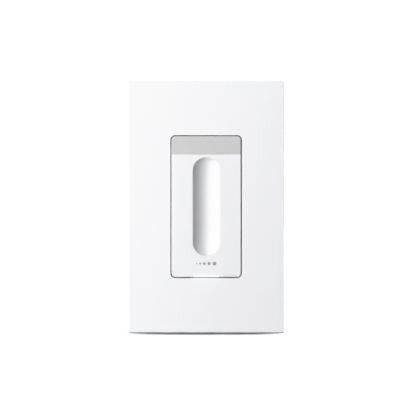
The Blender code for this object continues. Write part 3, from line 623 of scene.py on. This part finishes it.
def make_lit_bar():
    """The light pipe: a bar in the face's edge, and the foot that takes in the LED's light."""
    low, front = -FACE_HEIGHT / 2, FACE_FRONT
    high = low + BAR_HEIGHT
    inside = TUB_FLOOR + TUB_LOW
    foot = [(0.9, inside + 2.7), (0.9, inside), (FACE_BACK, inside), (FACE_BACK - 0.3, low + 1.6),
            (FACE_BACK - 0.3, low)]
    stem = [(front, high), (front + 2.0, high), (front + 2.0, inside + 1.7),
            (front + 3.0, inside + 2.7)]
    bar = prism(bottom_edge() + stem + foot, "X", -BAR_HALF_WIDTH, BAR_HALF_WIDTH)
    finish_piece(bar, "lit_bar", "housing", "light_pipe", ["light_pipe"])


def make_pull_tab():
    """The air gap tab with its nail notch, its rod, and the block with the lever's slot."""
    low, front = -FACE_HEIGHT / 2, FACE_FRONT
    high, back = low + BAR_HEIGHT, front + 1.3
    tab = prism([(back, low), *bottom_edge(), (front, high), (back, high)], "X", *TAB_X)
    nail_x, nail_y = (TAB_X[0] + 0.7, TAB_X[1] - 0.7), (front + 0.4, front + 0.9)
    cut(tab, box(nail_x, nail_y, (low - BEYOND, low + 0.35)))
    # The three low ends are a hair apart, because faces in one plane don't join cleanly
    rod = box(ROD_X, (front + 1.0, 6.4), (low + 0.02, TUB_LOW - 0.3))
    block_x, block_y = (PIN_X - 2.8, PIN_X + 2.1), (PIN_Y - 2.6, PIN_Y + 2.6)
    join(tab, rod, box(block_x, block_y, (low + 0.04, BLOCK_TOP)))
    slot_x, slot_y = (PIN_X - 2.0, PIN_X + 1.3), (PIN_Y - 1.3, PIN_Y + 1.3)
    cut(tab, box(slot_x, slot_y, (low + 0.8, BLOCK_TOP + BEYOND)))
    finish_piece(tab, "pull_tab", "air_gap", "white_face", ["air_gap_slider"])


def make_mark():
    """A neutral mark below the groove: five dots that grow from left to right."""
    height, proud, chamfer, gap = -26.8, 0.02, 0.03, 0.9
    diameters = [0.6, 0.9, 1.2, 1.5, 1.8]
    left = -(sum(diameters) + gap * (len(diameters) - 1)) / 2
    builder = bmesh.new()
    for diameter in diameters:
        centre, radius = (left + diameter / 2, height), diameter / 2
        steps = ((radius, FACE_FRONT + proud), (radius, FACE_FRONT),
                 (radius - chamfer, FACE_FRONT - proud))
        rings = [ring_of(builder, circle(size, centre, 28), level) for size, level in steps]
        builder.faces.new(rings[0])
        builder.faces.new(rings[-1])
        skin(builder, rings)
        left += diameter + gap
    mark = object_from(builder)
    finish_piece(mark, "level_dots", "housing", "grey_window")
    mark.data.materials.clear()
    mark.data.materials.append(surface("printed grey ink", (0.26, 0.26, 0.27), 0.5, mottle=0.08))


# Screws. Heads, shanks and tips are (radius, level) profiles along each screw's axis


def slotted(screw, axis, centre, level, depth, width=1.0, along=9.0, cross=False):
    """Cuts a driver slot into a screw head whose outer face is at this level."""
    outward = BEYOND * math.copysign(1.0, -depth)
    levels = sorted((level + depth, level + outward))
    sizes = [(along, width)] + ([(width, CROSS_LENGTH)] if cross else [])
    outlines = [centred(a_size, b_size, 0.05, 1, centre) for a_size, b_size in sizes]
    cut(screw, *[prism(points, axis, *levels) for points in outlines])


def make_box_screws():
    head = [(0, -3.2), (1.6, -3.18), (2.6, -3.05), (3.1, -2.8), (3.3, -2.45), (3.3, -1.85),
            (3.25, -1.8)]
    shank = [(NO_6_RADIUS, -1.8), *threaded_shank(NO_6_RADIUS, -0.9, 21.2)]
    tip = [(1.0, 22.1), (0.8, 22.2), (0, 22.2)]
    thread = (-0.8, 21.1, PITCH, THREAD_DEPTH)
    for name, z in (("top", BOX_SCREW_Z), ("bottom", -BOX_SCREW_Z)):
        screw = turned([*head, *shank, *tip], "Y", (0, z), SCREW_SIDES, thread)
        slotted(screw, "Y", (0, z), -3.2, 0.8, cross=True)
        finish_piece(screw, f"box_screw_{name}", "housing", "steel", [f"mounting_screw_{name}"])


def make_plate_screws():
    head = [(0, -4.8), (3.3, -4.8), (3.4, -4.75), (3.4, -4.65), (NO_6_RADIUS, -3.0)]
    shank = threaded_shank(NO_6_RADIUS, -1.6, 5.2)
    tip = [(1.0, 5.95), (0.8, 6.0), (0, 6.0)]
    thread = (-1.5, 5.1, PITCH, THREAD_DEPTH)
    for name, z in (("top", PLATE_SCREW_Z), ("bottom", -PLATE_SCREW_Z)):
        screw = turned([*head, *shank, *tip], "Y", (0, z), SCREW_SIDES, thread)
        slotted(screw, "Y", (0, z), -4.8, 0.8, 0.9)
        finish_piece(screw, f"cover_screw_{name}", "housing", "white_cover", [f"plate_screw_{name}"])


def make_case_screws():
    radius, pitch, back = 1.3, 0.7, 34.9
    head = [(0, back), (1.2, 34.88), (2.0, 34.72), (2.45, 34.4), (2.6, 34.0), (2.6, 33.35),
            (2.55, 33.3)]
    shank = [(radius, 33.3), *threaded_shank(radius, 8.0, -0.6, pitch)]
    tip = [(0.8, -1.15), (0.6, -1.2), (0, -1.2)]
    places = [(x, z) for x in (-CASE_SCREW_X, CASE_SCREW_X) for z in (-CASE_SCREW_Z, CASE_SCREW_Z)]
    for number, place_xz in enumerate(places, 1):
        screw = turned([*head, *shank, *tip], "Y", place_xz, 24, (-0.5, 7.9, pitch, 0.22))
        slotted(screw, "Y", place_xz, back, -0.8, 0.75, 6.0, cross=True)
        finish_piece(screw, f"rear_screw_{number}", "housing", "steel", [f"case_screw_{number}"])


def make_terminal_screws():
    """The side terminals' screws, with profiles for the right side that are mirrored for the left."""
    outer = 20.6
    head = [(0, outer), (2.6, 20.58), (3.2, 20.42), (3.52, 20.1), (3.6, 19.8), (3.6, 18.5),
            (3.5, 18.4)]
    shank = [(NO_8_RADIUS, 18.4), *threaded_shank(NO_8_RADIUS, 18.1, 13.9)]
    tip = [(1.3, 13.25), (1.1, 13.2), (0, 13.2)]
    corners = ((1, 1), (1, -1), (-1, 1), (-1, -1))
    for number, (side, up) in enumerate(corners, 1):
        centre = (TERMINAL_Y, up * TERMINAL_Z)
        profile = [(radius, side * x) for radius, x in (*head, *shank, *tip)]
        thread = (side * 13.95, side * 18.05, PITCH, THREAD_DEPTH)
        screw = turned(profile, "X", centre, SCREW_SIDES, thread)
        slotted(screw, "X", centre, side * outer, -side * 1.1, 1.1, cross=True)
        finish_piece(screw, f"wire_screw_{number}", f"screw_{number}", "brass",
                     [f"terminal_screw_{number}"])


def make_ground_screw():
    low = -44.3
    head = [(0, low), (2.4, -44.28), (3.1, -44.12), (3.5, -43.8), (3.6, -43.5), (3.6, -42.5),
            (3.5, -42.4)]
    shank = [(NO_8_RADIUS, -42.4), *threaded_shank(NO_8_RADIUS, -42.1, -37.1)]
    tip = [(1.3, -36.55), (1.1, -36.5), (0, -36.5)]
    thread = (-42.0, -37.2, PITCH, THREAD_DEPTH)
    screw = turned([*head, *shank, *tip], "Z", GROUND_SCREW, SCREW_SIDES, thread)
    slotted(screw, "Z", GROUND_SCREW, low, 1.0, 1.1, cross=True)
    finish_piece(screw, "earth_screw", "ground_screw_body", "green_screw", ["ground_screw"])


# Floor, lights and camera


def make_floor():
    """A pale floor under the object, in metres, that only the camera and the floor lights see."""
    low, corners = PLATE_Z[0] * MM, [(-4.0, -3.0), (4.0, -3.0), (4.0, 5.0), (-4.0, 5.0)]
    builder = bmesh.new()
    builder.faces.new([builder.verts.new((x, y, low)) for x, y in corners])
    floor = object_from(builder)
    floor.name = "floor"
    floor.data.materials.append(surface("pale floor", (0.30, 0.30, 0.30), 0.9, specular=0.0, bump=0.0))
    floor.visible_diffuse = False
    floor.visible_glossy = False
    floor.visible_shadow = False
    return floor


def area_light(name, position, target, size, power, colour=(1.0, 1.0, 1.0), height=None):
    """A disk of this size, or a rectangle if it has a height, that faces the target."""
    data = bpy.data.lights.new(name, "AREA")
    data.shape = "RECTANGLE" if height else "DISK"
    data.size = size
    if height:
        data.size_y = height
    data.energy = power
    data.color = colour
    light = bpy.data.objects.new(name, data)
    light.visible_camera = False
    light.location = position
    light.rotation_euler = (Vector(target) - Vector(position)).to_track_quat("-Z", "Y").to_euler()
    bpy.context.scene.collection.objects.link(light)
    return light


def link_light(light, target, state):
    """Lets a light reach only this object ("INCLUDE"), or everything but it ("EXCLUDE")."""
    receivers = bpy.data.collections.new(light.name + " receivers")
    receivers.objects.link(target)
    receivers.collection_objects[0].light_linking.link_state = state
    light.light_linking.receiver_collection = receivers


def make_floor_lights(floor):
    """Wide soft light from above and a little behind, which leaves a short shadow in front."""
    strength, lean, spread, size = 6.4, 11.0, 8.0, 14.0
    for step in (-1, 0, 1):
        data = bpy.data.lights.new(f"floor light {step + 2}", "SUN")
        data.energy = strength
        data.angle = math.radians(size)
        light = bpy.data.objects.new(data.name, data)
        away = Vector((math.tan(math.radians(spread * step)), math.tan(math.radians(lean)), 1.0))
        light.rotation_euler = away.to_track_quat("Z", "Y").to_euler()
        bpy.context.scene.collection.objects.link(light)
        link_light(light, floor, "INCLUDE")


def make_lights(floor):
    """A large key from the left, aimed high so that it fades downwards, and three weaker fills."""
    make_floor_lights(floor)
    middle, front = (0.0, 0.0, 0.0), (0.0, PLATE_Y[0] * MM, 0.0)
    for light in (
        area_light("key", (-0.62, -0.69, 0.11), (0.0, 0.0, 0.72), 1.0, 16.7),
        area_light("right rim", (0.8, 0.12, 0.05), front, 0.5, 3.2),
        area_light("back fill", (0.5, 0.75, 0.45), middle, 0.6, 3.0),
        area_light("top fill", (-0.1, -0.16, 0.75), middle, 0.6, 2.6),
    ):
        link_light(light, floor, "EXCLUDE")
    make_bar_glow()


def make_bar_glow():
    """The lit bar's light on the cover below it and, fainter, on the face above it."""
    bar_low, out = -FACE_HEIGHT / 2 * MM, FACE_FRONT * MM
    bar_high = bar_low + BAR_HEIGHT * MM
    width, height, stand_off, tint = 2 * BAR_HALF_WIDTH * MM, 0.0006, 0.0013, (0.75, 0.82, 1.0)
    glows = (("bar glow below", bar_low + 0.0004, bar_low - 0.0014, 0.000034),
             ("bar glow above", bar_high - 0.0003, bar_high + 0.0007, 0.000007))
    for name, source, target, power in glows:
        position, aim = (0.0, out - stand_off, source), (0.0, out, target)
        light = area_light(name, position, aim, width, power, tint, height)
        light.parent = frame["bodies"]["housing"]


def make_world():
    """Soft light that is weaker in front than behind, and a white backdrop for the camera."""
    front_light, back_light = 0.09, 1.0
    turns_at, turned_by = -0.05, 0.25  # the directions' y where one gives way to the other
    world = bpy.data.worlds.new("studio")
    world.use_nodes = True
    bpy.context.scene.world = world
    tree = world.node_tree
    tree.nodes.clear()
    direction = tree.nodes.new("ShaderNodeTexCoord")
    parts = tree.nodes.new("ShaderNodeSeparateXYZ")
    tree.links.new(direction.outputs["Generated"], parts.inputs[0])
    level = tree.nodes.new("ShaderNodeMapRange")
    level.interpolation_type = "SMOOTHSTEP"
    level.inputs["From Min"].default_value = turns_at
    level.inputs["From Max"].default_value = turned_by
    level.inputs["To Min"].default_value = front_light
    level.inputs["To Max"].default_value = back_light
    tree.links.new(parts.outputs["Y"], level.inputs["Value"])
    path = tree.nodes.new("ShaderNodeLightPath")
    soft = tree.nodes.new("ShaderNodeBackground")
    seen = tree.nodes.new("ShaderNodeBackground")
    tree.links.new(level.outputs["Result"], soft.inputs["Strength"])
    soft.inputs["Color"].default_value = (1.0, 1.0, 1.0, 1.0)
    seen.inputs["Strength"].default_value = WHITE_POINT
    seen.inputs["Color"].default_value = (1.0, 1.0, 1.0, 1.0)
    chosen = tree.nodes.new("ShaderNodeMixShader")
    output = tree.nodes.new("ShaderNodeOutputWorld")
    tree.links.new(path.outputs["Is Camera Ray"], chosen.inputs[0])
    tree.links.new(soft.outputs[0], chosen.inputs[1])
    tree.links.new(seen.outputs[0], chosen.inputs[2])
    tree.links.new(chosen.outputs[0], output.inputs[0])


def make_camera():
    """A long lens straight in front, which sees this width at the plate's distance."""
    distance, view_width, sensor = 1.0, 0.1939, 36.0
    aside, above = -0.0001, 0.0003
    data = bpy.data.cameras.new("camera")
    data.sensor_width = sensor
    data.lens = sensor * distance / view_width
    data.clip_start, data.clip_end = 0.01, 20.0
    camera = bpy.data.objects.new("camera", data)
    camera.location = (aside, PLATE_Y[0] * MM - distance, above)
    camera.rotation_euler = (math.pi / 2, 0.0, 0.0)
    bpy.context.scene.collection.objects.link(camera)
    bpy.context.scene.camera = camera


def set_tones():
    """A straight tone curve with a soft shoulder below the white point, as a camera has."""
    view = bpy.context.scene.view_settings
    view.view_transform = "Standard"
    view.use_curve_mapping = True
    mapping = view.curve_mapping
    mapping.white_level = [WHITE_POINT] * 3
    tones = mapping.curves[3]
    shoulder = ((0.42, 0.42), (0.84, 0.84), (0.95, 0.935), (1.1, 0.975), (1.25, 0.99))
    for radiance, shown in shoulder:
        tones.points.new(radiance / WHITE_POINT, shown)
    mapping.update()


dress_cad_nodes()
make_cover_plate()
make_face_shell()
make_sensor_band()
make_lit_bar()
make_pull_tab()
make_mark()
make_box_screws()
make_plate_screws()
make_case_screws()
make_terminal_screws()
make_ground_screw()
make_camera()
make_world()
make_lights(make_floor())
set_tones()
